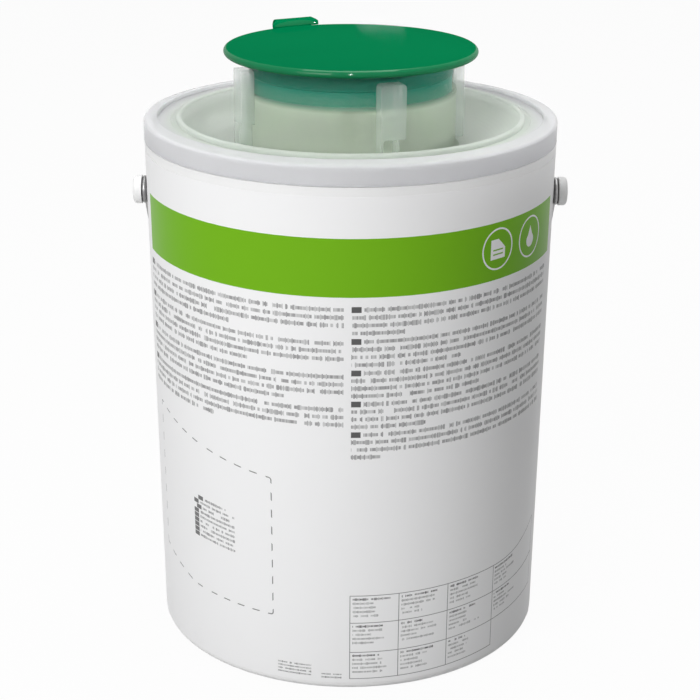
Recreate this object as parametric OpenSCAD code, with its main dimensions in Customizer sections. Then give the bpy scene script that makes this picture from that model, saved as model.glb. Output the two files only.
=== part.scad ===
// Countertop wipes dispenser: a round bucket with a press-on lid, a raised neck and a flip cap.
// The base stands on z = 0, Z is the bucket's axis, the label faces -Y and the bail's studs lie on X.
// An azimuth is measured round Z from the front, -Y, towards +X.

/* [Bucket] */
// Height of the bucket's body, up to the shoulder under the lid's skirt
body_h = 247.6; // [200:0.1:280]
// Outer radius of the body at the shoulder
top_r = 97.9; // [97.5:0.1:101]
// How much the body's radius narrows from the shoulder down to the base
taper = 2.9; // [1:0.1:4]
// Thickness of the bucket's wall
bucket_wall = 1.6; // [1.2:0.1:2.2]
// Round along the edge that the bucket stands on
base_round = 3.5; // [2:0.1:4]
// Width of the foot ring under the wall
foot_w = 5.5; // [5:0.1:7]
// Height of the floor's underside over the table
foot_h = 4; // [3:0.1:8]
// Thickness of the bucket's floor
floor_t = 2; // [1.5:0.1:3]
// Fillet where the wall meets the floor inside
floor_fillet = 4; // [2:0.5:6]
// Number of ribs under the floor
floor_ribs = 8; // [4:1:12]
// Thickness of a floor rib, and of the ring in their middle
floor_rib_t = 1.4; // [1:0.1:2]
// Outer radius of the ring that joins the floor ribs
hub_r = 18; // [10:1:30]
// How far the snap bead stands out of the rim
bead_out = 0.6; // [0.3:0.1:0.9]
// Height of the snap bead above the shoulder
bead_h = 4.6; // [2.5:0.1:5.5]

/* [Studs for the bail] */
// Height of the studs' axis above the table
stud_z = 220.2; // [190:0.1:223.5]
// Radius of a stud's neck
stud_neck_r = 4; // [3:0.1:4.2]
// Radius of a stud's head
stud_head_r = 6.85; // [6.85:0.05:9]
// Thickness of a stud's head
stud_head_t = 4.1; // [3:0.1:6]
// Round along the head's outer edge
stud_round = 1.8; // [0.8:0.1:2.2]

/* [Label] */
// Azimuth at which the label ends on each side
label_azimuth = 76; // [40:1:80]
// Thickness of the label film
label_t = 0.3; // [0.1:0.05:0.4]
// Margin between the label and the table, and between the label and the shoulder
label_margin = 4; // [2:0.5:20]

/* [Lid] */
// How far the lid's skirt stands proud of the body
skirt_proud = 0.1; // [0:0.05:1]
// Height of the lid's rim, from the skirt's lower edge to the top
lid_h = 10.7; // [10:0.1:15]
// Wall of the lid
lid_wall = 1.5; // [1.2:0.1:1.8]
// Round along the rim's outer edge
rim_round = 1.6; // [0.8:0.1:2]
// How much the rim's top falls towards its outer edge
rim_fall = 1; // [0:0.1:1.5]
// Width of the rim's top, measured from the lid's edge to the groove
rim_w = 6.8; // [6.6:0.1:9]
// Depth of the shallow groove inside the rim
groove_d = 2.2; // [1.5:0.1:3]
// Width of the shallow groove
groove_w = 8.6; // [6:0.1:12]
// Step in the groove's floor
groove_step = 0.5; // [0.2:0.1:0.8]
// Half the width of the raised bead between the groove and the dish
ridge_r = 1.3; // [1:0.1:2.2]
// Depth of the dish floor below the rim's top
dish_d = 15.2; // [12:0.1:24]
// Fillet where the neck rises out of the dish
neck_fillet = 2; // [1:0.1:3]
// Depth of the inner lip that guides the lid into the bucket, below the rim's top
lip_d = 7.2; // [6.5:0.1:9]
// Thickness of the inner lip
lip_t = 1.4; // [1:0.1:1.6]
// Thickness of the soft seal in the rim's channel
seal_t = 1.6; // [1:0.1:2]

/* [Neck] */
// Outer radius of the neck
neck_r = 49.9; // [44:0.1:52]
// Height of the neck above the rim's top
neck_h = 27.8; // [22:0.1:36]
// Depth of the ledge in the neck that the insert sits on, below the neck's top
ledge_d = 17.1; // [14:0.1:20]
// How far the ledge reaches into the neck
ledge_w = 2; // [1.6:0.1:3]
// Number of lugs round the neck
lug_count = 4; // [2:1:4]
// Azimuth of the first lug
lug_azimuth = 20.2; // [0:0.1:24]
// Width of a lug
lug_w = 12.25; // [9:0.05:15]
// How far a lug stands out of the neck
lug_out = 6; // [4:0.1:7.5]
// Height of a lug
lug_h = 25.2; // [16:0.1:28]
// Depth of a lug's top below the neck's top
lug_drop = 4; // [3:0.1:8]
// Wall of a lug
lug_wall = 1.5; // [1:0.1:2]
// Round at a lug's upper corners
lug_round = 2; // [0.8:0.1:3]
// Thickness of a web under a lug
web_t = 1.2; // [0.8:0.1:2]
// Sideways place of the second web, from the lug's middle
web_side = 2.35; // [0:0.05:2.8]

/* [Insert] */
// Wall of the insert
insert_wall = 1.4; // [1.2:0.1:1.6]
// Width of the insert's flange over the neck's rim
flange_out = 0.7; // [0.2:0.1:1.5]
// Thickness of the insert's flange
flange_t = 1.2; // [0.8:0.1:1.6]
// Height of the step in the insert's outer wall, above its foot
insert_step_h = 8.3; // [4:0.1:10]
// Depth of the step in the insert's outer wall
insert_step = 0.5; // [0.2:0.1:0.7]
// Thickness of the insert's floor
insert_floor_t = 1.4; // [1:0.1:2]
// Outer radius of the cone that carries the orifice, at its foot
cone_r = 24; // [18:0.5:32]
// Height of the orifice above the insert's floor
cone_h = 5; // [3:0.1:6]
// Outer radius of the star cut
star_r = 12; // [9:0.5:14]
// Number of cuts in the star
star_cuts = 8; // [6:1:12]
// Width of a cut
star_cut_w = 0.8; // [0.5:0.1:1.5]
// Radius of the hole in the star's middle
orifice_r = 4.5; // [3.5:0.1:6]

/* [Flip cap] */
// How far the cap's disc stands out over the neck
cap_over = 10; // [8.6:0.1:11]
// Thickness of the cap's rolled edge
cap_edge_t = 3.5; // [3.2:0.1:4.4]
// Thickness of the cap's disc at its edge
cap_t = 1.9; // [1.6:0.1:3]
// How much the disc is crowned
cap_crown = 0.4; // [0.2:0.1:1.5]
// Length of the plug wall under the disc
plug_h = 10.4; // [6:0.1:11]
// Wall of the plug
plug_wall = 1.5; // [1.2:0.1:2]
// Draft of the plug wall over its length
plug_draft = 0.4; // [0.2:0.1:0.8]

/* [Strap hinge] */
// Azimuth of the strap
strap_azimuth = 207.5; // [200:0.5:225]
// Width of the strap
strap_w = 20; // [12:0.5:26]
// Extra width of the strap's root on the cap, each side
strap_flare = 2.5; // [0.5:0.1:4]
// Thickness of the strap
strap_t = 1; // [0.6:0.1:1.2]
// Outer radius of the strap's curl
curl_r = 3.35; // [3.2:0.05:3.8]
// Distance from the cap's edge to the curl's axis
curl_out = 2.4; // [2.2:0.1:2.8]

/* [Bail] */
// Radius of the bail's wire
wire_r = 1.2; // [1:0.05:1.4]
// Distance from the studs' axis to the middle of the grip
bail_h = 136; // [130:0.5:170]
// Radius of the bail's corners
bail_corner = 50; // [35:0.5:53]
// How much thinner the wire's radius gets in a bend
bend_thin = 0.03; // [0.02:0.01:0.08]
// Length of the grip
grip_l = 90; // [70:1:95]
// Radius of the grip at its middle
grip_r = 6.5; // [5:0.1:6.8]
// Radius of the grip's end flanges
grip_end_r = 7; // [6.8:0.1:8]
// Width of an end flange
grip_end_w = 3; // [2:0.5:6]

/* [Wipes] */
// Gap between the roll of wipes and the bucket's wall at the base
roll_room = 7.4; // [6:0.1:34]
// Radius of the roll's open core
core_r = 22; // [15:1:30]
// Height of the roll
roll_h = 190; // [120:1:190]
// Round along the roll's edges
roll_round = 5; // [2:0.5:8]
// Radius of the gathered wipe inside the core
feed_r = 7; // [5:0.5:9]
// Depth to which the gathered wipe reaches into the core
feed_in = 42; // [20:1:80]
// Radius of the wipe's tail above the orifice
tail_r = 9; // [7:0.5:14]
// Height of the wipe's tail above the orifice
tail_h = 7; // [3:0.5:8]

/* [Clearances] */
// Gap between the shoulder and the lid's skirt
skirt_gap = 0.4; // [0.3:0.1:1]
// Radial gap between the lid's skirt or lip and the bucket's rim
rim_gap = 0.3; // [0.2:0.05:0.5]
// Gap between two flat seats that rest on each other
seat_gap = 0.1; // [0.05:0.05:0.3]
// Radial gap of a pressed-in piece, such as the insert or the seal
press_gap = 0.1; // [0.05:0.01:0.2]
// Radial gap between the plug and the insert
plug_gap = 0.6; // [0.6:0.05:1]
// Gap between the closed cap and the insert's flange
cap_gap = 0.3; // [0.2:0.05:0.6]
// Gap round the strap where it passes the cap's edge
strap_gap = 0.3; // [0.2:0.05:0.5]
// Play of the wire's eye along a stud's neck, each side
eye_play = 0.2; // [0.1:0.05:0.5]
// Radial gap between the wire's eye and a stud's neck
eye_gap = 0.25; // [0.1:0.05:0.5]
// Gap between the bail's leg and the lid as the bail swings over
swing_gap = 0.6; // [0.4:0.1:2]
// Radial gap between the grip and its wire
grip_gap = 0.08; // [0.04:0.01:0.1]
// Gap of soft pieces to what they lie on, and of the grip to the wall
soft_gap = 0.3; // [0.2:0.05:0.5]
// Gap between the label film and the wall
label_gap = 0.05; // [0.01:0.01:0.1]

/* [Hidden] */
$fn = 96;
arc_steps = 8;
more = 1;

// Bucket and lid, from the shoulder up
base_r = top_r - taper;
floor_z = foot_h + floor_t;
lid_z = body_h + skirt_gap;
lid_top = lid_z + lid_h;
channel_z = lid_top - rim_fall - lid_wall;
seal_z = channel_z - seat_gap - seal_t;
rim_z = seal_z - seat_gap;
lid_r = top_r + skirt_proud;
skirt_in_r = lid_r - lid_wall;
rim_bead_r = skirt_in_r - rim_gap;
rim_out_r = rim_bead_r - bead_out;
rim_in_r = rim_out_r - bucket_wall;
rim_chamfer = bucket_wall / 4;
shoulder_drop = 6;

// Lid, from the rim in to the neck
lip_out_r = rim_in_r - rim_gap;
lip_in_r = lip_out_r - lip_t;
groove_out_r = lid_r - rim_w;
groove_in_r = groove_out_r - groove_w;
groove_z = lid_top - groove_d;
groove_low_z = groove_z - groove_step;
groove_step_r = groove_out_r - groove_w * 2 / 3;
groove_round = 0.8;
rim_tilt = atan(rim_fall / (rim_w - rim_round - groove_round));
ridge_drop = 0.2;
ridge_mid_r = groove_in_r - ridge_r;
ridge_mid_z = lid_top - ridge_drop - ridge_r;
dish_z = lid_top - dish_d;
dish_in_r = neck_r + neck_fillet;
dish_run = ridge_mid_r - ridge_r - dish_in_r;
dish_rise = ridge_mid_z - dish_z;
dish_arc_r = (dish_run * dish_run + dish_rise * dish_rise) / (2 * dish_rise);
dish_mid = [dish_in_r, dish_z + dish_arc_r];
dish_end = atan2(ridge_mid_z - dish_mid[1], dish_run);
under_z = groove_low_z - lid_wall;
under_arc_r = dish_arc_r + lid_wall;
under_end = -asin((dish_mid[1] - under_z) / under_arc_r);

// Neck and insert
neck_top = lid_top + neck_h;
neck_in_r = neck_r - lid_wall;
ledge_z = neck_top - ledge_d;
ledge_t = 1.5;
lug_top = neck_top - lug_drop;
lug_low = lug_top - lug_h;
lug_out_r = neck_r + lug_out;
web_z = dish_mid[1] - sqrt(dish_arc_r ^ 2 - (lug_out_r - dish_in_r) ^ 2) + seat_gap;
insert_r = neck_in_r - press_gap;
insert_z = ledge_z + seat_gap;
insert_in_r = insert_r - insert_wall;
insert_low_r = insert_r - insert_step;
insert_step_z = insert_z + insert_step_h;
insert_floor_z = insert_z + insert_floor_t;
flange_z = neck_top + seat_gap;
flange_top = flange_z + flange_t;
flange_r = neck_r + flange_out;
edge_break = 0.4;
star_z = insert_floor_z + cone_h;
star_top = star_z + insert_floor_t;
star_land = 2;
star_rim_r = star_r + star_land;

// Flip cap and strap
cap_r = neck_r + cap_over;
cap_under = flange_top + cap_gap;
cap_edge_top = cap_under + cap_t;
cap_edge_r = cap_edge_t / 2;
cap_edge_mid = [cap_r - cap_edge_r, cap_edge_top - cap_edge_r];
cap_lip = 0.8;
cap_lip_r = cap_edge_mid[0] - cap_lip;
plug_r = insert_in_r - plug_gap;
curl_mid = [cap_r + curl_out, flange_z + curl_r];
curl_in_r = curl_r - strap_t;
curl_reach = norm(curl_mid - cap_edge_mid);
cap_reach = cap_edge_r + seat_gap;
curl_land = 180 + atan2(curl_mid[1] - cap_edge_mid[1], curl_mid[0] - cap_edge_mid[0])
  - acos((curl_r ^ 2 + curl_reach ^ 2 - cap_reach ^ 2) / (2 * curl_r * curl_reach));
notch_w = strap_w + 2 * strap_gap;

// Bail
function wall_r(z) = base_r + (top_r - base_r) * z / body_h;
stud_wall_r = wall_r(stud_z);
eye_x = stud_wall_r + eye_play + wire_r;
head_x = eye_x + wire_r + eye_play;
eye_r = stud_neck_r + eye_gap + wire_r;
splay = atan((lid_r + swing_gap + wire_r - eye_x) / (lid_z - stud_z));
leg_h = bail_h - bail_corner * (1 + sin(splay));
leg_x = eye_x + leg_h * tan(splay);
bail_flat = leg_x - bail_corner * cos(splay);
bend_more = 0.5;
grip_waist = 1;
grip_waist_l = 12;
grip_reach = grip_end_r + soft_gap + label_gap + label_t;
first_hang = acos((top_r + grip_reach) / bail_h);
bail_hang = acos((wall_r(stud_z - bail_h * sin(first_hang)) + grip_reach) / bail_h);

// Wipes
roll_z = floor_z + soft_gap;
roll_r = base_r - bucket_wall - roll_room;
roll_top = roll_z + roll_h;
wipe_r = orifice_r - soft_gap;
feed_point = [1, 3];
throat_h = 8;
tail_fold = [2, 1.4];

// Points on an arc about c with radius r, from angle a to angle b
function arc(c, r, a, b, n = arc_steps) =
  [for (i = [0:n]) c + r * [cos(a + (b - a) * i / n), sin(a + (b - a) * i / n)]];

// Turns its children to an azimuth: their -Y points outwards and their X runs round the bucket
module at_azimuth(a) {
  rotate([0, 0, a]) children();
}

// Extrudes a profile drawn in radius and height along the tangent, w wide
module along_tangent(w) {
  rotate([90, 0, -90]) translate([0, 0, -w / 2]) linear_extrude(height = w) children();
}

// ---- Bucket ----

function bucket_outside() = concat(
  [[base_r - foot_w, 0]],
  arc([base_r - base_round, base_round], base_round, -90, 0),
  [[top_r, body_h],
   [rim_out_r, body_h],
   [rim_out_r, body_h + bead_h - bead_out],
   [rim_bead_r, body_h + bead_h],
   [rim_out_r, body_h + bead_h + bead_out],
   [rim_out_r, rim_z - rim_chamfer],
   [rim_out_r - rim_chamfer, rim_z]]);

function bucket_inside() = concat(
  [[rim_in_r + rim_chamfer, rim_z],
   [rim_in_r, rim_z - rim_chamfer],
   [rim_in_r, body_h - bucket_wall],
   [wall_r(body_h - shoulder_drop) - bucket_wall, body_h - shoulder_drop]],
  arc([wall_r(floor_z) - bucket_wall - floor_fillet, floor_z + floor_fillet], floor_fillet, 0, -90),
  [[0, floor_z],
   [0, foot_h],
   [base_r - foot_w, foot_h]]);

// A stud for the bail's eye, along +X from inside the wall
module stud() {
  root_x = stud_wall_r - bucket_wall / 2;
  translate([root_x, 0, stud_z]) rotate([0, 90, 0])
    cylinder(r = stud_neck_r, h = head_x - root_x + more);
  translate([head_x, 0, stud_z]) rotate([0, 90, 0]) rotate_extrude()
    polygon(concat(
      [[0, 0], [stud_head_r, 0]],
      arc([stud_head_r - stud_round, stud_head_t - stud_round], stud_round, 0, 90),
      [[0, stud_head_t]]));
}

// The hub ring and the ribs that stiffen the floor from below
module floor_web() {
  rib_z = foot_h / 4;
  rib_h = foot_h + floor_t / 2 - rib_z;
  translate([0, 0, rib_z]) difference() {
    cylinder(r = hub_r, h = rib_h);
    translate([0, 0, -more]) cylinder(r = hub_r - floor_rib_t, h = rib_h + 2 * more);
  }
  for (i = [0:floor_ribs - 1]) rotate([0, 0, 360 * (i + 0.5) / floor_ribs])
    translate([hub_r - floor_rib_t / 2, -floor_rib_t / 2, rib_z])
      cube([base_r - foot_w / 2 - hub_r, floor_rib_t, rib_h]);
}

module bucket() color("whitesmoke") {
  rotate_extrude() polygon(concat(bucket_outside(), bucket_inside()));
  floor_web();
  for (turn = [0, 180]) rotate([0, 0, turn]) stud();
}

// The printed film on the wall, a conical sheet that leaves the studs and the back bare
module label() color("yellowgreen") {
  low = label_margin;
  high = body_h - label_margin;
  low_r = wall_r(low) + label_gap;
  high_r = wall_r(high) + label_gap;
  rotate([0, 0, -90 - label_azimuth]) rotate_extrude(angle = 2 * label_azimuth)
    polygon([[low_r, low], [low_r + label_t, low], [high_r + label_t, high], [high_r, high]]);
}

// ---- Wipes ----

// The roll of wipes: its first wipe leaves through the open core
module wipes_roll() color("ivory") {
  translate([0, 0, roll_z]) rotate_extrude() polygon(concat(
    arc([roll_r - roll_round, roll_round], roll_round, -90, 0),
    arc([roll_r - roll_round, roll_h - roll_round], roll_round, 0, 90),
    [[core_r, roll_h], [core_r, 0]]));
}

// The first wipe, gathered, drawn up out of the core and through the orifice
module lead_wipe() color("ivory") {
  low = roll_top - feed_in;
  rotate_extrude() polygon([
    [0, low],
    [feed_r - feed_point[0], low],
    [feed_r, low + feed_point[1]],
    [feed_r, roll_top],
    [wipe_r, star_z - throat_h],
    [wipe_r, star_top + soft_gap],
    [tail_r, star_top + tail_h - tail_fold[1]],
    [tail_r - tail_fold[0], star_top + tail_h],
    [0, star_top + tail_h]]);
}

// ---- Lid ----

function lid_outside() = concat(
  [[lid_r, lid_z]],
  arc([lid_r - rim_round, lid_top - rim_fall - rim_round], rim_round, 0, 90 - rim_tilt),
  arc([groove_out_r + groove_round, lid_top - groove_round], groove_round, 90 - rim_tilt, 180),
  [[groove_out_r, groove_z],
   [groove_step_r, groove_z],
   [groove_step_r - groove_step, groove_low_z],
   [groove_in_r, groove_low_z]],
  arc([ridge_mid_r, ridge_mid_z], ridge_r, 0, 180),
  arc(dish_mid, dish_arc_r, dish_end, -90, 2 * arc_steps),
  [[neck_in_r, dish_z]]);

function lid_inside() = concat(
  [[neck_in_r, dish_z - lid_wall]],
  arc(dish_mid, under_arc_r, -90, under_end, 2 * arc_steps),
  [[lip_in_r, under_z],
   [lip_in_r, lid_top - lip_d],
   [lip_out_r - lip_t / 3, lid_top - lip_d],
   [lip_out_r, lid_top - lip_d + lip_t],
   [lip_out_r, channel_z],
   [skirt_in_r, channel_z],
   [skirt_in_r, lid_z]]);

module lid() color("honeydew", 0.6) {
  rotate_extrude() polygon(concat(lid_outside(), lid_inside()));
}

// The neck rises from the dish's floor. It has a ledge inside that carries the insert.
module neck() color("honeydew", 0.6) {
  rotate_extrude() polygon(concat(
    [[neck_in_r, dish_z], [dish_in_r, dish_z]],
    arc([dish_in_r, dish_z + neck_fillet], neck_fillet, -90, -180),
    arc([neck_r - edge_break, neck_top - edge_break], edge_break, 0, 90, 3),
    [[neck_in_r, neck_top],
     [neck_in_r, ledge_z],
     [neck_in_r - ledge_w, ledge_z],
     [neck_in_r - ledge_w, ledge_z - ledge_t],
     [neck_in_r, ledge_z - ledge_t - ledge_w]]));
}

// One hollow lug, open below, with the two webs that carry it down to the dish
module lug() {
  half = lug_w / 2;
  depth = lug_out_r - neck_r + neck_r * (1 - cos(asin(half / neck_r)));
  difference() {
    union() {
      difference() {
        translate([0, depth - lug_out_r, 0]) rotate([90, 0, 0]) linear_extrude(height = depth)
          polygon(concat(
            [[-half, lug_low], [half, lug_low]],
            arc([half - lug_round, lug_top - lug_round], lug_round, 0, 90),
            arc([lug_round - half, lug_top - lug_round], lug_round, 90, 180)));
        translate([lug_wall - half, lug_wall - lug_out_r, lug_low - more])
          cube([lug_w - 2 * lug_wall, depth, lug_h - lug_wall + more]);
      }
      for (web = [[-half, lug_low], [web_side - web_t / 2, lug_top - lug_wall]])
        translate([web[0], -lug_out_r, web_z])
          cube([web_t, depth, web[1] - web_z + lug_wall / 2]);
    }
    neck_foot();
  }
}

// What the neck and the fillet at its foot take out of a lug
module neck_foot() {
  translate([0, 0, dish_z]) rotate_extrude() polygon(concat(
    [[0, 0], [dish_in_r, 0]],
    arc([dish_in_r, neck_fillet], neck_fillet, -90, -180),
    [[neck_r, neck_h + dish_d], [0, neck_h + dish_d]]));
}

module neck_lugs() color("honeydew", 0.6) {
  for (i = [0:lug_count - 1]) at_azimuth(lug_azimuth + 360 * i / lug_count) lug();
}

// The soft ring in the rim's channel
module lid_seal() color("gainsboro") {
  ring_in = lip_out_r + press_gap;
  ring_out = skirt_in_r - press_gap;
  translate([0, 0, seal_z]) rotate_extrude()
    translate([ring_in, 0]) square([ring_out - ring_in, seal_t]);
}

// ---- Insert ----

module orifice_insert() color("seagreen") difference() {
  rotate_extrude() polygon([
    [insert_low_r, insert_z],
    [insert_low_r, insert_step_z],
    [insert_r, insert_step_z + insert_step],
    [insert_r, flange_z],
    [flange_r, flange_z],
    [flange_r, flange_top - edge_break],
    [flange_r - edge_break, flange_top],
    [insert_in_r + edge_break, flange_top],
    [insert_in_r, flange_top - edge_break],
    [insert_in_r, insert_floor_z],
    [cone_r, insert_floor_z],
    [star_rim_r, star_top],
    [orifice_r, star_top],
    [orifice_r, star_z],
    [star_rim_r - insert_floor_t / 2, star_z],
    [cone_r - insert_floor_t, insert_z]]);
  for (i = [0:star_cuts - 1]) rotate([0, 0, 360 * i / star_cuts])
    translate([0, -star_cut_w / 2, star_z - more]) cube([star_r, star_cut_w, insert_floor_t + 2 * more]);
}

// The strap: from the flange out under the cap's edge, up in a curl and back onto the cap
module hinge_strap() color("green") at_azimuth(strap_azimuth) {
  leg_r = flange_r + seat_gap;
  intersection() {
    along_tangent(strap_w + 2 * strap_flare) difference() {
      polygon(concat(
        [curl_mid],
        arc(curl_mid, curl_r, -90, curl_land, 4 * arc_steps)));
      circle_at(curl_mid, curl_in_r);
    }
    translate([0, 0, flange_z - more]) linear_extrude(height = 2 * (curl_r + more)) strap_plan();
  }
  along_tangent(strap_w) polygon([
    [leg_r, flange_z], [curl_mid[0], flange_z],
    [curl_mid[0], flange_z + strap_t], [leg_r, flange_z + strap_t]]);
}

module circle_at(c, r) {
  translate(c) circle(r = r);
}

// The strap seen from above: its root on the cap is wider than its curl
module strap_plan() {
  half = strap_w / 2;
  root = curl_mid[0] - curl_r - more;
  neck = curl_mid[0] - curl_r / 3;
  tip = curl_mid[0] + curl_r + more;
  polygon([
    [-half, -tip], [half, -tip], [half, -neck],
    [half + strap_flare, -neck + strap_flare], [half + strap_flare, -root],
    [-half - strap_flare, -root], [-half - strap_flare, -neck + strap_flare], [-half, -neck]]);
}

// ---- Flip cap ----

function cap_face(r) = cap_edge_top + cap_crown * (1 - (r / cap_edge_mid[0]) ^ 2);

module flip_cap() color("seagreen") difference() {
  union() {
    rotate_extrude() polygon(concat(
      [for (i = [0:arc_steps - 1]) let (r = cap_edge_mid[0] * i / arc_steps) [r, cap_face(r)]],
      arc(cap_edge_mid, cap_edge_r, 90, -90),
      [[cap_lip_r, cap_edge_mid[1] - cap_edge_r], [cap_lip_r, cap_under], [0, cap_under]]));
    rotate_extrude() polygon([
      [plug_r - plug_wall, cap_under + cap_t / 2],
      [plug_r, cap_under + cap_t / 2],
      [plug_r, cap_under],
      [plug_r - plug_draft, cap_under - plug_h],
      [plug_r - plug_wall, cap_under - plug_h],
      [plug_r - plug_wall, cap_under]]);
  }
  at_azimuth(strap_azimuth) translate([-notch_w / 2, -cap_r - more, flange_z - more])
    cube([notch_w, cap_r + more - cap_lip_r + more, strap_t + strap_gap + more]);
}

// ---- Bail ----

// Puts its children, drawn upright over the studs' axis, where the bail hangs behind the bucket
module hung() {
  translate([0, 0, stud_z]) rotate([-90 - bail_hang, 0, 0]) children();
}

module half_bail() {
  translate([eye_x, 0, 0]) rotate([0, 90, 0]) rotate_extrude()
    translate([eye_r, 0]) circle(r = wire_r);
  translate([eye_x, 0, 0]) rotate([0, splay, 0]) translate([0, 0, eye_r])
    cylinder(r = wire_r, h = leg_h / cos(splay) - eye_r);
  translate([bail_flat, 0, bail_h - bail_corner]) rotate([90, 0, 0]) rotate([0, 0, -splay - bend_more])
    rotate_extrude(angle = 90 + splay + 2 * bend_more)
      translate([bail_corner, 0]) circle(r = wire_r - bend_thin);
}

module bail_wire() color("dimgray") hung() {
  half_bail();
  mirror([1, 0, 0]) half_bail();
  translate([-bail_flat, 0, bail_h]) rotate([0, 90, 0]) cylinder(r = wire_r, h = 2 * bail_flat);
}

// Half the grip's profile, from its middle out to its end
function grip_side() = let (half = grip_l / 2, inner = half - grip_end_w) [
  [grip_r, inner - grip_waist_l],
  [grip_r - grip_waist, inner],
  [grip_end_r - edge_break, inner],
  [grip_end_r, inner + edge_break],
  [grip_end_r, half - edge_break],
  [grip_end_r - edge_break, half],
  [wire_r + grip_gap, half]];

module bail_grip() color("white") hung() {
  side = grip_side();
  translate([0, 0, bail_h]) rotate([0, 90, 0]) rotate_extrude() polygon(concat(
    side,
    [for (i = [len(side) - 1:-1:0]) [side[i][0], -side[i][1]]]));
}

bucket();
label();
wipes_roll();
lid();
neck();
neck_lugs();
lid_seal();
orifice_insert();
hinge_strap();
lead_wipe();
flip_cap();
bail_wire();
bail_grip();
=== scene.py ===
"""Dresses a countertop wipes dispenser: a bucket, a press-on lid, a flip cap and a bail."""

import functools
import math
import operator

import bmesh
import bpy
from mathutils import Matrix, Vector, noise


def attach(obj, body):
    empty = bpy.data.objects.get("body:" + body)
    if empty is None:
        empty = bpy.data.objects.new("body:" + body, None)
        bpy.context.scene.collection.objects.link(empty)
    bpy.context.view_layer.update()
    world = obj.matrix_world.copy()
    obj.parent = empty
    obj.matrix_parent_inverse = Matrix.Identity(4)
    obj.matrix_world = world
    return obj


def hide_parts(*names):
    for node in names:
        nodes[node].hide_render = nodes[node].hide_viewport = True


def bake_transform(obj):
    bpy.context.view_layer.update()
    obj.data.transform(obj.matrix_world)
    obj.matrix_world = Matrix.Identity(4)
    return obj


MM = 0.001
MM_PER_METRE = 1000
FULL_TURN = 2 * math.pi

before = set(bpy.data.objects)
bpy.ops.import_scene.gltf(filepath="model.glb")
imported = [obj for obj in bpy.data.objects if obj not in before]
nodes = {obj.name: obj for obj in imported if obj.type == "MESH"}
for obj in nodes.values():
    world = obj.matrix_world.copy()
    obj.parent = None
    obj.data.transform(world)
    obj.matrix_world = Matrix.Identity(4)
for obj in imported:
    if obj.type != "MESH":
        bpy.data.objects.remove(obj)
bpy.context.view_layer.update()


# ---------------------------------------------------------------- finishes


class Field:
    """A value that varies over a surface. Python's operators add its Math nodes."""

    def __init__(self, finish, socket):
        self.finish = finish
        self.socket = socket

    def maths(self, operation, *values):
        sockets = dict(enumerate(values))
        return self.finish.add("ShaderNodeMath", {"operation": operation}, sockets)

    def __add__(self, other):
        return self.maths("ADD", self, other)

    def __sub__(self, other):
        return self.maths("SUBTRACT", self, other)

    def __rsub__(self, other):
        return self.maths("SUBTRACT", other, self)

    def __mul__(self, other):
        return self.maths("MULTIPLY", self, other)

    def __truediv__(self, other):
        return self.maths("DIVIDE", self, other)

    def __pow__(self, other):
        return self.maths("POWER", self, other)

    def __lt__(self, other):
        return self.maths("LESS_THAN", self, other)

    def __gt__(self, other):
        return self.maths("GREATER_THAN", self, other)

    def __or__(self, other):
        return self.maths("MAXIMUM", self, other)

    def __and__(self, other):
        return self.maths("MINIMUM", self, other)

    def __abs__(self):
        return self.maths("ABSOLUTE", self)

    def floor(self):
        return self.maths("FLOOR", self)

    def fract(self):
        return self.maths("FRACT", self)

    def sine(self):
        return self.maths("SINE", self)

    def between(self, low, high):
        return (self > low) & (self < high)

    def one_of_first(self, count):
        """1 where a whole number is from 0 to count - 1."""
        return self.between(-0.5, count - 0.5)

    def hypot(self, other):
        return (self * self + other * other) ** 0.5

    def angle_from(self, other):
        """The angle, in radians, whose sine goes with this field and cosine with other."""
        return self.maths("ARCTAN2", self, other)

    def ramp(self, low, high):
        """0 at low and before it, 1 at high and past it."""
        return (((self - low) / (high - low)) | 0) & 1


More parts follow.
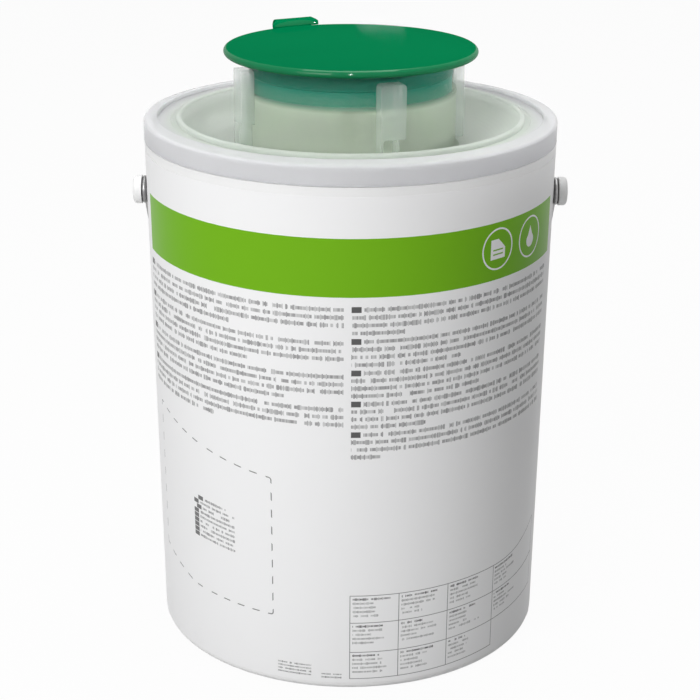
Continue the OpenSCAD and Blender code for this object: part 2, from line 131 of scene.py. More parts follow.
class Finish:
    """A material. Constants go on the shader's own sockets, and what varies is linked."""

    # The sockets of a Mix node that mixes colours
    MIX_SHARE, MIX_BASE, MIX_OTHER, MIX_RESULT = 0, 6, 7, 2

    def __init__(self, name, colour, roughness, **constants):
        self.material = bpy.data.materials.new(name)
        self.material.use_nodes = True
        self.tree = self.material.node_tree
        self.shader = self.tree.nodes["Principled BSDF"]
        self.shader.inputs["Base Color"].default_value = (*colour, 1)
        self.shader.inputs["Roughness"].default_value = roughness
        for socket, value in constants.items():
            self.shader.inputs[socket.replace("_", " ")].default_value = value

    def add(self, kind, settings=None, sockets=None, output=0):
        """Adds one node, sets it up and fills its sockets with values or links."""
        node = self.tree.nodes.new(kind)
        for name, value in (settings or {}).items():
            setattr(node, name, value)
        for name, value in (sockets or {}).items():
            if isinstance(value, Field):
                self.tree.links.new(value.socket, node.inputs[name])
            else:
                node.inputs[name].default_value = value
        return Field(self, node.outputs[output])

    def feed(self, socket, field):
        self.tree.links.new(field.socket, self.shader.inputs[socket])

    def place(self):
        """The point on the piece, as its three coordinates in millimetres."""
        point = self.add("ShaderNodeTexCoord", output="Object")
        split = self.tree.nodes.new("ShaderNodeSeparateXYZ")
        self.tree.links.new(point.socket, split.inputs[0])
        return [Field(self, axis) * MM_PER_METRE for axis in split.outputs]

    def from_axis(self):
        """The point's distance from the upright axis, in millimetres."""
        x, y, _ = self.place()
        return x.hypot(y)

    def up(self):
        """The point's height, in millimetres."""
        return self.place()[2]

    def grain(self, size, detail=3, stretch=(1, 1, 1)):
        """Noise from 0 to 1 whose lumps are about size millimetres across."""
        point = self.add("ShaderNodeTexCoord", output="Object")
        place = self.add("ShaderNodeMapping", None, {"Vector": point, "Scale": stretch})
        sockets = {"Vector": place, "Scale": MM_PER_METRE / size, "Detail": detail}
        return self.add("ShaderNodeTexNoise", None, sockets)

    def tint(self, base, other, mask):
        """Mixes a second colour over the first where the mask is 1.

        Either of them is a colour or a field.
        """
        sockets = {self.MIX_SHARE: mask}
        for index, colour in ((self.MIX_BASE, base), (self.MIX_OTHER, other)):
            sockets[index] = colour if isinstance(colour, Field) else (*colour, 1)
        return self.add("ShaderNodeMix", {"data_type": "RGBA"}, sockets, self.MIX_RESULT)

    def bump(self, height, distance):
        """Raises the surface by height times distance, in millimetres."""
        sockets = {"Height": height, "Distance": distance * MM, "Strength": 1.0}
        self.feed("Normal", self.add("ShaderNodeBump", None, sockets))

    def orange_peel(self, height):
        """The texture that moulding leaves, too fine to see."""
        self.bump(self.grain(1.6, 2), height)

    def wear(self, roughness, spread, size=14):
        """Lets the gloss vary softly, as handling leaves it."""
        self.feed("Roughness", self.grain(size) * spread + (roughness - spread / 2))


def grey(level):
    return (level, level, level)


WHITE_PLASTIC = (0.80, 0.80, 0.80)
FILM_WHITE = (0.80, 0.80, 0.805)
INK = grey(0.05)
BAND_GREEN = (0.15, 0.39, 0.008)
CAP_GREEN = (0.0, 0.155, 0.054)
INSERT_GREEN = (0.006, 0.20, 0.135)
RIM_TINT = (0.87, 0.875, 0.91)
DISH_TINT = (0.80, 0.90, 0.79)
LUG_TINT = (0.75, 0.88, 0.79)
NECK_TINT = (0.68, 0.82, 0.61)


def moulded(name, colour, roughness, spread=0.08, peel=0.02, **constants):
    """Injection moulded plastic, with soft changes in colour and gloss."""
    finish = Finish(name, colour, roughness, **constants)
    finish.wear(roughness, spread)
    shade = tuple(channel * 0.93 for channel in colour)
    finish.feed("Base Color", finish.tint(colour, shade, finish.grain(35)))
    finish.orange_peel(peel)
    return finish


def bucket_plastic():
    """White moulded plastic, scuffed along its foot, where it is pushed over a table."""
    finish = Finish("bucket_plastic", WHITE_PLASTIC, 0.38, IOR=1.49, Specular_IOR_Level=0.2)
    finish.wear(0.38, 0.08)
    scuff_top = 3
    scuff = (1 - finish.up().ramp(0, scuff_top)) * finish.grain(5).ramp(0.35, 0.7)
    body = finish.tint(WHITE_PLASTIC, grey(0.74), finish.grain(35))
    finish.feed("Base Color", finish.tint(body, grey(0.38), scuff * 0.6))
    finish.orange_peel(0.02)
    return finish


# The label's film and print. Its places are given by an angle round the bucket from the
# middle of the front, in degrees, and a height, in millimetres.
LABEL_R = 97.6
MM_PER_DEGREE = LABEL_R * math.pi / 180
PRINT_END = 72
BAND_LOW, BAND_HIGH, BAND_END = 198.1, 225.0, 72.5
BAND_SAG = 1.3
SIGN_Z = 212.5
SIGN_RING = (9.0, 9.8)
SIGN_SCALE = 0.93
COLUMN_PRINT = 0.22
FINE_PRINT = 0.2
TABLE_HEADS = (50.7, 36.3, 20.6)
TABLE_FOOT = 6.3
TABLE_COLUMNS = (0.5, 14.4, 29.5, 46.9)


def any_of(fields):
    return functools.reduce(operator.or_, fields)


def total_of(fields):
    return functools.reduce(operator.add, fields)


def drop(u, v):
    """A drop of liquid, point up. u and v are millimetres from the sign's middle."""
    round_part = u.hypot(v + 1.8) < 3.5
    point_part = (abs(u) < (5.6 - v) * 0.47) & v.between(-0.2, 5.6)
    return round_part | point_part


def folded_wipe(u, v):
    """A wipe with a turned corner and two pressed lines."""
    whole = (abs(u) < 5) & (abs(v) < 5) & (u + v < 6)
    corner = (u + v).between(5.1, 6)
    lines = (abs(v + 0.4) < 0.35) | (abs(v + 2.6) < 0.35)
    return whole & (1 - (corner | (lines & (abs(u) < 3.4))))


def chance(first, second):
    """A number from 0 to 1 that looks random, the same for the same whole numbers."""
    return ((first * 12.9898 + second * 78.233).sine() * 43758.5453).fract()


def pick(index, values):
    """The value whose place in the list is the field's whole number."""
    shares = []
    for place, value in enumerate(values):
        shares.append(index.between(place - 0.5, place + 0.5) * value)
    return total_of(shares)


def print_dashes(along, row, height, x_height):
    """Dashes in place of small print, some taller and some darker, with gaps between.

    along is in millimetres, and height goes from 0 to 1 in each row.
    """
    dash, gap = 0.62, 1.2
    tall_from, gap_under = 0.72, 0.15
    palest, spread = 0.3, 0.4
    slot = (along / dash).floor()
    tall = chance(slot, row + 9) > tall_from
    solid = abs(height - 0.5) < (tall * (0.5 * x_height) + x_height)
    solid = solid & (chance((along / gap).floor(), row) > gap_under)
    return solid * (chance(slot, row) * spread + palest)


def print_column(across, arc, level, start, stop, block, ends):
    """Blocks of printed rows, each with a dark tag in front of its first row.

    block is the height from one block to the next, and ends says where each block's last
    row stops.
    """
    top, pitch, rows = 194.3, 3.65, 4
    indent, tag_wide, tag_half_high = 3.3, 2.6, 1.38
    down = top - level
    group = (down / block).floor()
    within = down - group * block
    row = (within / pitch).floor()
    used = group.one_of_first(len(ends))
    begin = (row < 0.5) * indent + start
    end = stop - (row > rows - 1.5) * (stop - pick(group, ends))
    inside = (across > begin) & (across < end) & (row < rows - 0.5) & used
    height = (within / pitch).fract()
    dashes = print_dashes(arc, group * rows + row, height, COLUMN_PRINT) * inside
    tag = across.between(start, start + tag_wide) & used
    tag = tag & (abs(within - pitch / 2) < tag_half_high)
    return dashes | (tag * 0.93)


def dashed_outline(across, arc, z):
    """The dashed edge of the sticker box. Its head and foot rise towards the side."""
    middle, near_edge, bend = 45.5, 22, 29
    half_wide, half_high, corner_r, half_line = 40.5, 35, 1.2, 0.27
    dash_pitch, dash_share, dash_shift = 8.6, 0.46, 4.6
    foot_low, foot_slope, foot_bend = 37.2, 0.07, 0.45
    head_low, head_slope, head_bend = 108.2, 0.22, 0.0028
    side = (abs(across) - near_edge) | 0
    foot = side * foot_slope + ((side - bend) | 0) * foot_bend + foot_low
    head = side * side * head_bend + side * head_slope + head_low
    u = abs(arc + middle * MM_PER_DEGREE)
    v = abs((z - foot) / (head - foot) - 0.5) * (2 * half_high)
    past_u = (u - (half_wide - corner_r)) | 0
    past_v = (v - (half_high - corner_r)) | 0
    edge = abs(past_u.hypot(past_v) - corner_r) < half_line
    dashed = ((u + v + dash_shift) / dash_pitch).fract() < dash_share
    return edge & dashed & (across < 0)


def sticker_rows(across, arc, z):
    """Nine short rows in the sticker box, each with a dark tag in front."""
    pitch, rows, top, slope = 2.46, 9, 88.3, 0.108
    left, right = -50, -33.8
    tag_wide, tag_half_high, gap = 2.1, 0.44, 0.5
    down = (top - z) - (across - left) * slope
    row = (down / pitch).floor()
    height = (down / pitch).fract()
    used = row.one_of_first(rows)
    first, third = row < 0.5, row.between(1.5, 2.5)
    # The first and the third row start further in and stop earlier
    start = first * 2 + third * 1.2 + left
    stop = right - first * 3 - third * 1.7
    inside = (across > start + (tag_wide + gap)) & (across < stop) & used
    dashes = print_dashes(arc, row, height, FINE_PRINT) * inside
    tag = (across > start) & (across < start + tag_wide) & used
    return dashes | ((tag & (abs(height - 0.5) < tag_half_high)) * 0.85)


def table_level(across, z):
    """The height in the table as if it were drawn flat. Its rules rise to the side.

    The low ones rise more up to the bend, and the high ones more past it.
    """
    bend = 47
    side = across | 0
    outer = (side - bend) | 0
    lift = side * side / bend**2 * (1.8 - z.ramp(6, 50) * 0.95)
    lift = lift + outer * outer * 0.0143 * z.ramp(34, 56)
    return z - lift


def table_rules(across, level):
    """The table's rules. The last column of the lowest row is left open."""
    half_rule, half_column_rule, column_foot = 0.19, 0.11, 6.1
    left, last, top = TABLE_COLUMNS[0], TABLE_COLUMNS[-1], TABLE_HEADS[0]
    across_rules = [(head, PRINT_END) for head in TABLE_HEADS] + [(TABLE_FOOT, last)]
    up_rules = [(column, column_foot) for column in TABLE_COLUMNS]
    up_rules.append((PRINT_END, TABLE_HEADS[-1]))
    rules = []
    for height, end in across_rules:
        rules.append((abs(level - height) < half_rule) & across.between(left, end))
    for column, low in up_rules:
        line = abs(across - column) < half_column_rule
        rules.append(line & level.between(low, top))
    return any_of(rules)


def table_print(across, arc, level):
    """Short rows in the table's cells, the first row of each cell darker."""
    pitch, rows, margin, head_gap, foot_gap = 2.2, 5, 0.7, 0.75, 0.2
    shortest, longer_by = 5.5, 6.5
    steps = []
    for before, column in zip(TABLE_COLUMNS, TABLE_COLUMNS[1:]):
        steps.append((across > column) * (column - before))
    left = total_of(steps) + TABLE_COLUMNS[0]
    top = TABLE_HEADS[0] - head_gap
    for above, head in zip(TABLE_HEADS, TABLE_HEADS[1:]):
        top = top - (level < head) * (above - head)
    down = top - level
    row = (down / pitch).floor()
    cell = left + top
    stop = left + chance(row, cell) * longer_by + shortest
    inside = (across > left + margin) & (across < stop) & row.one_of_first(rows)
    inside = inside & across.between(TABLE_COLUMNS[0], PRINT_END - 2)
    inside = inside & (level > TABLE_FOOT + foot_gap)
    inside = inside & ((across < TABLE_COLUMNS[-1]) | (level > TABLE_HEADS[-1]))
    dashes = print_dashes(arc, row + cell, (down / pitch).fract(), FINE_PRINT) * inside
    return dashes * ((row < 0.5) * 0.5 + 0.8)


def foot_notes(across, arc, z):
    """Two small blocks of rows near the base."""
    pitch = 1.7
    notes = []
    for start, stop, top, rows in ((-20.5, -10.5, 13.4, 4), (-7.6, -1.8, 9.4, 2)):
        down = (top - z) / pitch
        row = down.floor()
        inside = across.between(start, stop) & row.one_of_first(rows)
        notes.append(print_dashes(arc, row, down.fract(), FINE_PRINT) * inside)
    return any_of(notes)


def label_film():
    """Printed film: a band with two signs, dashes for small print, a box and a table."""
    finish = Finish("label_film", FILM_WHITE, 0.33, IOR=1.5, Specular_IOR_Level=0.1)
    finish.wear(0.33, 0.08, 20)
    x, y, z = finish.place()
    across = x.angle_from(0 - y) * 180 / math.pi
    arc = across * MM_PER_DEGREE
    level = z - across * across * (BAND_SAG / PRINT_END**2)
    band = (abs(across) < BAND_END) & level.between(BAND_LOW, BAND_HIGH)
    signs = []
    for centre, motif in ((42.7, folded_wipe), (57.2, drop)):
        u = arc - centre * MM_PER_DEGREE
        v = level - SIGN_Z
        ring = u.hypot(v).between(*SIGN_RING)
        signs.append(ring | motif(u / SIGN_SCALE, v / SIGN_SCALE))

    flat = table_level(across, z)
    left_ends = (-33.6, -28.2, -17, -39.8)
    right_ends = (14.6, 32.2, 37.5, 20.9, 9.3)
    ink = any_of(
        [
            print_column(across, arc, level, -73, -1.5, 15.84, left_ends),
            print_column(across, arc, level, 0.5, 69.5, 14.94, right_ends),
            dashed_outline(across, arc, z) * 0.8,
            sticker_rows(across, arc, z),
            table_rules(across, flat) * 0.75,
            table_print(across, arc, flat),
            foot_notes(across, arc, z),
        ]
    )
    printed = finish.tint(FILM_WHITE, INK, ink)
    green = finish.tint(BAND_GREEN, FILM_WHITE, any_of(signs))
    finish.feed("Base Color", finish.tint(printed, green, band))
    finish.bump(finish.grain(9, 2), 0.03)
    return finish


def clear_plastic(name, tint, alpha):
    """Natural polypropylene, thin enough that what stands behind it shows."""
    finish = Finish(
        name, tint, 0.3, IOR=1.2, Alpha=alpha, Transmission_Weight=0.25,
        Subsurface_Weight=0.8, Subsurface_Scale=0.012, Subsurface_Radius=(1, 1, 1),
    )
    finish.wear(0.3, 0.08, 12)
    finish.bump(finish.grain(1.4, 2), 0.02)
    return finish


def lid_plastic():
    """The lid is whiter out where it lies over the bucket's rim."""
    dish_end, rim_start = 85, 90
    finish = clear_plastic("lid_plastic", DISH_TINT, 0.6)
    body = finish.tint(DISH_TINT, RIM_TINT, finish.from_axis().ramp(dish_end, rim_start))
    finish.feed("Base Color", finish.tint(body, grey(0.76), finish.grain(28, 2) * 0.3))
    return finish


def neck_plastic():
    """The neck is clear where the insert lies against it, and hazy below."""
    finish = clear_plastic("neck_plastic", NECK_TINT, 0.5)
    z = finish.up()
    below_insert = 1 - z.ramp(268.5, 272)
    below_step = 1 - z.ramp(273.5, 278)
    finish.feed("Alpha", below_insert * 0.40 + below_step * 0.07 + 0.03)
    cloud = finish.grain(20, 2)
    finish.feed("Base Color", finish.tint(NECK_TINT, (0.73, 0.84, 0.67), cloud))
    return finish


def lug_plastic():
    finish = clear_plastic("lug_plastic", LUG_TINT, 0.25)
    cloud = finish.grain(9, 2) * 0.4
    finish.feed("Base Color", finish.tint(LUG_TINT, grey(0.88), cloud))
    return finish


def cap_plastic():
    """The cap's rolled edge is polished by fingers."""
    edge_in, edge_out = 58.6, 60.1
    finish = moulded(
        "cap_plastic", CAP_GREEN, 0.24, 0.08, 0.015, IOR=1.04, Specular_IOR_Level=0.0,
        Coat_Roughness=0.08,
    )
    polished = finish.from_axis().between(edge_in, edge_out)
    finish.feed("Coat Weight", polished * 0.35 + 0.008)
    return finish


def insert_plastic():
    """The insert is painted darker above its step, as shade under the cap."""
    finish = Finish("insert_plastic", INSERT_GREEN, 0.3, IOR=1.15)
    finish.wear(0.3, 0.1)
    # Painted shade: the insert's top, under the cap, is tinted darker
    painted_shade_above_step = finish.up().ramp(277.5, 279.5)
    step = finish.tint(INSERT_GREEN, (0.003, 0.135, 0.088), painted_shade_above_step)
    cloud = finish.grain(30) * 0.25
    finish.feed("Base Color", finish.tint(step, (0.004, 0.16, 0.11), cloud))
    finish.orange_peel(0.02)
    return finish


def bail_steel():
    """Drawn steel wire, with fine streaks."""
    finish = Finish("bail_steel", grey(0.34), 0.34, Metallic=1.0)
    streaks = finish.grain(1.1, 2, (0.1, 1, 1))
    finish.feed("Base Color", finish.tint(grey(0.36), grey(0.20), streaks))
    finish.feed("Roughness", finish.grain(3) * 0.2 + 0.28)
    finish.bump(streaks, 0.02)
    return finish


def non_woven(name, rolled):
    """White non-woven: fine fibres, and wound layers on the ends of a roll, with painted
    shade in the grooves between them.
    """
    finish = Finish(name, (0.80, 0.79, 0.76), 0.9, Sheen_Weight=0.25, Sheen_Roughness=0.5)
    fibres = finish.grain(0.7, 4, (1, 1, 0.35))
    height = fibres * 0.6 + finish.grain(6, 3) * 0.4
    pale = finish.tint((0.83, 0.82, 0.80), (0.70, 0.69, 0.66), height)
    if rolled:
        layer = 0.8
        x, y, _ = finish.place()
        turn = x.angle_from(y) / FULL_TURN
        layers = ((x.hypot(y) / layer + turn) * FULL_TURN).sine() * 0.5 + 0.5
        # Painted shade in the grooves between the wound layers
        pale = finish.tint(pale, (0.52, 0.51, 0.48), (1 - layers) * 0.35)
        height = height * 0.4 + layers * 0.6
    finish.feed("Base Color", pale)
    finish.bump(height, 0.18)
    return finish


# ---------------------------------------------------------------- pieces


def added(name, data):
    """Puts a mesh, a lamp or a camera into the scene as an object."""
    thing = bpy.data.objects.new(name, data)
    bpy.context.scene.collection.objects.link(thing)
    return thing


def put_in_order(mesh):
    """Sorts a bmesh's parts by their places, so that each run gives them in one order."""

    def sort(parts, key):
        ranks = {part: rank for rank, part in enumerate(sorted(parts, key=key))}
        parts.sort(key=ranks.get)
        parts.index_update()

    def corners(part):
        return sorted(vert.index for vert in part.verts)

    sort(mesh.verts, lambda vert: tuple(vert.co))
    sort(mesh.edges, corners)
    sort(mesh.faces, corners)


def mesh_data(mesh, name, material):
    """Turns a bmesh into mesh data with one material, and frees it."""
    put_in_order(mesh)
    data = bpy.data.meshes.new(name)
    mesh.to_mesh(data)
    mesh.free()
    data.materials.append(material)
    return data


def piece_from(mesh, name, finish):
    """Turns a bmesh, drawn in metres where it belongs, into a smooth piece."""
    data = mesh_data(mesh, name, finish.material)
    for face in data.polygons:
        face.use_smooth = True
    return added(name, data)


def spun(profile, steps):
    """Spins a line of (radius, height) points, in millimetres, round Z."""
    mesh = bmesh.new()
    points = [mesh.verts.new((r * MM, 0, z * MM)) for r, z in profile]
    lines = [mesh.edges.new(pair) for pair in zip(points, points[1:])]
    bmesh.ops.spin(
        mesh, geom=points + lines, cent=(0, 0, 0), axis=(0, 0, 1),
        angle=FULL_TURN, steps=steps, use_merge=True,
    )
    bmesh.ops.remove_doubles(mesh, verts=mesh.verts, dist=1e-6)
    bmesh.ops.recalc_face_normals(mesh, faces=mesh.faces)
    return mesh


def drawn_out(mesh, edges, times):
    """Extrudes a line of edges times over, and gives the rows of vertices that it makes."""
    rows = []
    for _ in range(times):
        grown = bmesh.ops.extrude_edge_only(mesh, edges=edges)["geom"]
        edges = [part for part in grown if isinstance(part, bmesh.types.BMEdge)]
        rows.append([part for part in grown if isinstance(part, bmesh.types.BMVert)])
    return rows


def round_rim(mesh, edges):
    bmesh.ops.bevel(
        mesh, geom=edges, offset=0.2 * MM, offset_type="OFFSET",
        affect="EDGES", segments=2, profile=0.5, material=-1, clamp_overlap=True,
    )


def dress(name, finish):
    """Gives a CAD node its finish."""
    materials = nodes[name].data.materials
    materials.clear()
    materials.append(finish.material)


# Sizes that the new pieces share with the CAD, in millimetres
CORE_R = 22.0
ROLL_R = 86.0
ROLL_LOW = 6.3
ROLL_TOP = 196.3
FEED_LOW = 154.3
ORIFICE_Z = 275.9
ORIFICE_TOP = 277.3
TAIL_TOP = 284.1
STRAP_AZIMUTH = 207.5
CURL_OUT = 62.3
CURL_Z = 289.95
CURL_R = 3.35
STRAP_T = 1.0
STRAP_HALF = 10.0
FLANGE_R = 50.7

STRAP_TURN = math.radians(STRAP_AZIMUTH)
STRAP_OUTWARDS = Vector((math.sin(STRAP_TURN), -math.cos(STRAP_TURN), 0))
STRAP_SIDEWAYS = Vector((math.cos(STRAP_TURN), math.sin(STRAP_TURN), 0))


def roll_of_wipes():
    """The wound roll, with layers that end a little above or below each other."""
    noise.seed_set(7)
    layers, steps = 46, 128
    sink_most, sink_at_edge = 0.6, 1.6
    pitch = (ROLL_R - CORE_R) / layers

    def end_face(level, sign, order):
        rim = []
        for i in order:
            sink = sink_most * noise.random() + (sink_at_edge if i in (0, layers) else 0)
            rim.append((CORE_R + pitch * i, level - sign * sink))
        return rim

    def outside(i):
        return ROLL_R + 0.25 * math.sin(i * 1.9), ROLL_LOW + 4 + 182 * i / 12

    def inside(i):
        return CORE_R - 0.4 * math.sin(i * 2.3) ** 2, ROLL_TOP - 5 - 180 * i / 8

    top = end_face(ROLL_TOP, 1, range(layers, -1, -1))
    low = end_face(ROLL_LOW, -1, range(0, layers + 1))
    core = [inside(i) for i in range(9)]
    wall = [outside(i) for i in range(13)]
    return spun(top + core + low + wall + top[:1], steps)


def wipe_reach(z):
    """How far the first wipe's pleats reach from its middle at a height."""
    bundle, in_cut, flare = 6.6, 4.0, 4.7
    narrow_end, flare_start = ORIFICE_Z - 8, ORIFICE_TOP + 0.5
    if z < ROLL_TOP:
        return bundle
    if z < narrow_end:
        return bundle - (bundle - in_cut) * (z - ROLL_TOP) / (narrow_end - ROLL_TOP)
    if z < flare_start:
        return in_cut
    open_share = (z - flare_start) / (TAIL_TOP - flare_start)
    return in_cut + flare * math.sin(open_share * math.pi / 2) ** 0.8


def tail_lift(z, angle):
    """How far the first wipe's tip waves up or down at a height and an angle."""
    start = ORIFICE_TOP + 3
    if z <= start:
        return 0.0
    waves, most = 1.6, 1.3
    wave = noise.noise(Vector((math.cos(angle) * waves, math.sin(angle) * waves, 5)))
    return most * wave * (z - start) / (TAIL_TOP - start)


def first_wipe():
    """The first wipe: a pleated bundle that narrows in the star cut and opens above it."""
    noise.seed_set(11)
    pleats, columns_per_pleat, rows = 17, 8, 44
    inner_share, drift_most, twist_most, twist_turns = 0.30, 2.4, 0.9, 5.2
    start = FEED_LOW + 0.5
    mesh = bmesh.new()
    bmesh.ops.create_circle(mesh, segments=pleats * columns_per_pleat, radius=1)
    rings = [list(mesh.verts)] + drawn_out(mesh, list(mesh.edges), rows)
    for row, verts in enumerate(rings):
        share = row / rows
        z = start + (TAIL_TOP - start) * share
        twist = twist_most * math.sin(share * twist_turns)
        for vert in verts:
            angle = math.atan2(vert.co.y, vert.co.x)
            drift = noise.noise(Vector((math.cos(angle), math.sin(angle), z * 0.02)) * 2)
            fold = 0.5 + 0.5 * math.cos(pleats * angle + drift_most * drift)
            radius = wipe_reach(z) * (inner_share + (1 - inner_share) * fold)
            x = radius * math.cos(angle + twist)
            y = radius * math.sin(angle + twist)
            vert.co = Vector((x, y, min(z + tail_lift(z, angle), TAIL_TOP))) * MM
    return mesh


def out_along_strap(radius, along, z):
    """A point by its distance from the axis, its place across the strap, and its height."""
    return (STRAP_OUTWARDS * radius + STRAP_SIDEWAYS * along + Vector((0, 0, z))) * MM


def strap_leg():
    """The strap's flat end, from the insert's flange out under the cap's edge."""
    mesh = bmesh.new()
    bmesh.ops.create_cube(mesh, size=1)
    for vert in mesh.verts:
        x, y, z = vert.co
        radius = FLANGE_R if x < 0 else CURL_OUT + 0.3
        height = CURL_Z - CURL_R + STRAP_T * (z + 0.5)
        vert.co = out_along_strap(radius, 2 * STRAP_HALF * y, height)
    bmesh.ops.recalc_face_normals(mesh, faces=mesh.faces)

    def is_long(edge):
        line = (edge.verts[1].co - edge.verts[0].co).normalized()
        return abs(line.dot(STRAP_OUTWARDS)) > 0.9

    round_rim(mesh, [edge for edge in mesh.edges if is_long(edge)])
    return mesh


def strap_curl():
    """The curl: from the leg's end up, over and down onto the cap's rolled edge."""
    first, last, steps = -90.0, 184.0, 44
    columns = 8
    flare_start, flare_length, flare_most = 0.6, 2.2, 0.24
    mesh = bmesh.new()
    ends = []
    for i in range(columns + 1):
        ends.append(mesh.verts.new((2 * STRAP_HALF * (i / columns - 0.5), 0, 0)))
    edges = [mesh.edges.new(pair) for pair in zip(ends, ends[1:])]
    rings = [ends] + drawn_out(mesh, edges, steps)
    for step, verts in enumerate(rings):
        angle = math.radians(first + (last - first) * step / steps)
        reach = CURL_R * math.cos(angle)
        height = CURL_R * math.sin(angle)
        flare = min(max((-reach - flare_start) / flare_length, 0), 1) ** 1.5 * flare_most
        for vert in verts:
            along = vert.co.x * (1 + flare)
            vert.co = out_along_strap(CURL_OUT + reach, along, CURL_Z + height)
    bmesh.ops.recalc_face_normals(mesh, faces=mesh.faces)
    centre = out_along_strap(CURL_OUT, 0, CURL_Z)
    face = mesh.faces[:][0]
    if (face.calc_center_median() - centre).dot(face.normal) < 0:
        bmesh.ops.reverse_faces(mesh, faces=mesh.faces)
    bmesh.ops.solidify(mesh, geom=list(mesh.faces), thickness=STRAP_T * MM)
    bmesh.ops.recalc_face_normals(mesh, faces=mesh.faces)

    def is_sharp(edge):
        return len(edge.link_faces) == 2 and edge.calc_face_angle(0) > 1.0

    round_rim(mesh, [edge for edge in mesh.edges if is_sharp(edge)])
    return mesh


# ---------------------------------------------------------------- the dispenser

cap_green = cap_plastic()
dress("bucket", bucket_plastic())
dress("label", label_film())
dress("lid", lid_plastic())
dress("neck", neck_plastic())
dress("neck_lugs", lug_plastic())
dress("lid_seal", moulded("seal_rubber", grey(0.78), 0.7, 0.1, 0.04))
dress("orifice_insert", insert_plastic())
dress("flip_cap", cap_green)
dress("bail_wire", bail_steel())
dress("bail_grip", moulded("grip_plastic", grey(0.78), 0.42))

roll = piece_from(roll_of_wipes(), "wound_roll", non_woven("roll_wipes", True))
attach(roll, "bucket")
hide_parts("wipes_roll")

wipe = piece_from(first_wipe(), "first_wipe", non_woven("gathered_wipe", False))
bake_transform(wipe)
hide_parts("lead_wipe")

leg = piece_from(strap_leg(), "strap_leg", cap_green)
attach(leg, "lid")
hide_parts("hinge_strap")

curl = piece_from(strap_curl(), "strap_curl", cap_green)
# Two points on a line through the cap's hinge, worked out but not used
swing = math.radians(131.9)
reach = 1.74
out_along_strap(CURL_OUT - reach * math.cos(swing), 0, CURL_Z - reach * math.sin(swing))
out_along_strap(CURL_OUT + reach * math.cos(swing), 0, CURL_Z + reach * math.sin(swing))
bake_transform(curl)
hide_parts("hinge_strap")


# ---------------------------------------------------------------- studio


def mixed_by_ray(tree, seen, other, output, share=1.0):
    """Shows one shader to the camera and to reflections, and another to the light."""

    def maths(operation, first, second):
        node = tree.nodes.new("ShaderNodeMath")
        node.operation = operation
        tree.links.new(first, node.inputs[0])
        if isinstance(second, float):
            node.inputs[1].default_value = second
        else:
            tree.links.new(second, node.inputs[1])
        return node.outputs[0]

    path = tree.nodes.new("ShaderNodeLightPath").outputs
    either = maths("MAXIMUM", path["Is Camera Ray"], path["Is Glossy Ray"])
    either = maths("MAXIMUM", either, path["Is Transmission Ray"])
    mix = tree.nodes.new("ShaderNodeMixShader")
    tree.links.new(maths("MULTIPLY", either, share), mix.inputs[0])
    tree.links.new(other.outputs[0], mix.inputs[1])
    tree.links.new(seen.outputs[0], mix.inputs[2])
    tree.links.new(mix.outputs[0], output.inputs["Surface"])


def studio_floor():
    """A wide floor that looks white and lights the object as light grey."""
    half_size, below, seen_white = 30, 0.0002, 0.96
    mesh = bmesh.new()
    bmesh.ops.create_grid(mesh, x_segments=2, y_segments=2, size=half_size)
    bmesh.ops.translate(mesh, vec=(0, 0, -below), verts=mesh.verts)
    material = bpy.data.materials.new("floor_white")
    material.use_nodes = True
    tree = material.node_tree
    diffuse = tree.nodes["Principled BSDF"]
    diffuse.inputs["Base Color"].default_value = (*grey(0.55), 1)
    diffuse.inputs["Roughness"].default_value = 0.9
    white = tree.nodes.new("ShaderNodeEmission")
    mixed_by_ray(tree, white, diffuse, tree.nodes["Material Output"], seen_white)
    floor = added("studio_floor", mesh_data(mesh, "studio_floor", material))


def studio_world(level):
    """A background that looks white and lights the object by level."""
    world = bpy.data.worlds.new("studio")
    bpy.context.scene.world = world
    world.use_nodes = True
    tree = world.node_tree
    fill = tree.nodes["Background"]
    white = tree.nodes.new("ShaderNodeBackground")
    for background, strength in ((fill, level), (white, 1)):
        background.inputs["Color"].default_value = (*grey(1), 1)
        background.inputs["Strength"].default_value = strength
    mixed_by_ray(tree, white, fill, tree.nodes["World Output"])


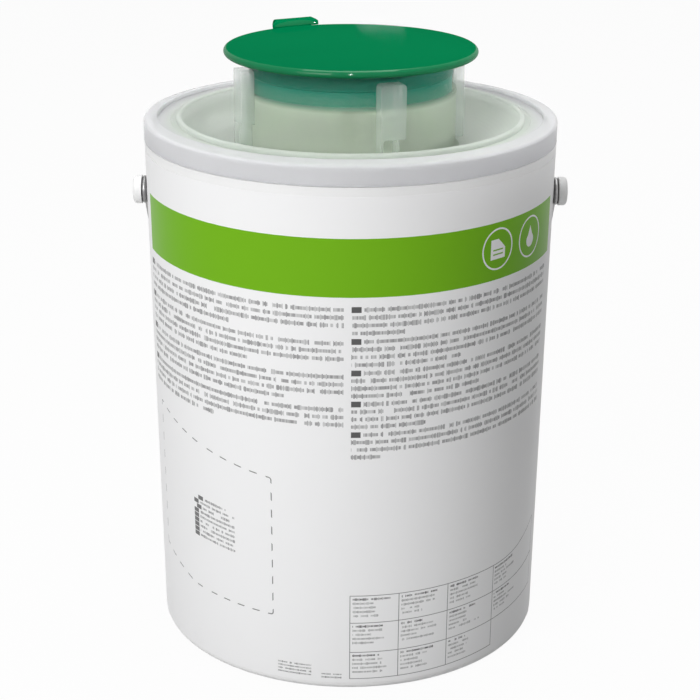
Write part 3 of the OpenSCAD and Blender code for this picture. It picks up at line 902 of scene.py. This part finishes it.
def hung(name, data, place, aim, watts):
    """Puts a lamp at a place, turned to what it is aimed at."""
    data.energy = watts
    lamp = added(name, data)
    lamp.location = place
    direction = Vector(aim) - Vector(place)
    lamp.rotation_euler = direction.to_track_quat("-Z", "Y").to_euler()


def soft_lamp(name, place, aim, size, watts):
    data = bpy.data.lights.new(name, "AREA")
    data.shape = "RECTANGLE"
    data.size, data.size_y = size
    hung(name, data, place, aim, watts)


def narrow_lamp(name, place, aim, cone, watts):
    """A narrow lamp with a soft edge, to lift one part. cone is in degrees."""
    data = bpy.data.lights.new(name, "SPOT")
    data.spot_size = math.radians(cone)
    data.spot_blend = 0.5
    data.shadow_soft_size = 0.06
    hung(name, data, place, aim, watts)


def photo_camera():
    """The photograph's viewpoint: 0.9 m away, 20.8 degrees above the bucket's middle."""
    rise, roll_angle = 0.36354, 0.005
    distance, target = 0.896851, 0.1289
    picture, focal = 700, 1788.9
    centre_x, centre_y = 349.345, 366.593
    data = bpy.data.cameras.new("photo_camera")
    data.sensor_width = 36
    data.lens = data.sensor_width * focal / picture
    data.shift_x = (picture / 2 - centre_x) / picture
    data.shift_y = (centre_y - picture / 2) / picture
    camera = added("photo_camera", data)
    height = target + distance * math.sin(rise)
    place = Matrix.Translation(Vector((0, -distance * math.cos(rise), height)))
    tilt = Matrix.Rotation(math.pi / 2 - rise, 4, "X")
    camera.matrix_world = place @ tilt @ Matrix.Rotation(roll_angle, 4, "Z")
    bpy.context.scene.camera = camera


studio_floor()
studio_world(0.13)
soft_lamp("key_lamp", (-0.76, -1.2, 0.95), (0, 0, 0.15), (0.9, 0.9), 20)
soft_lamp("top_lamp", (0, 0.1, 1.5), (0, 0, 0.25), (0.8, 0.8), 12.5)
soft_lamp("back_lamp", (0.3, 1.2, 1.4), (0, 0, 0.2), (0.7, 0.7), 3.6)
soft_lamp("glint_lamp", (0, -1.1, 0.51), (0, 0, 0.285), (0.035, 0.035), 0.7)
soft_lamp("strip_lamp", (0.037, 1.25, 0.472), (0, 0, 0.29), (0.054, 0.006), 0.12)
narrow_lamp("lid_lamp", (1.15, -0.55, 0.6), (0.03, 0, 0.299), 5.6, 62)
photo_camera()
bpy.context.scene.view_settings.view_transform = "Standard"
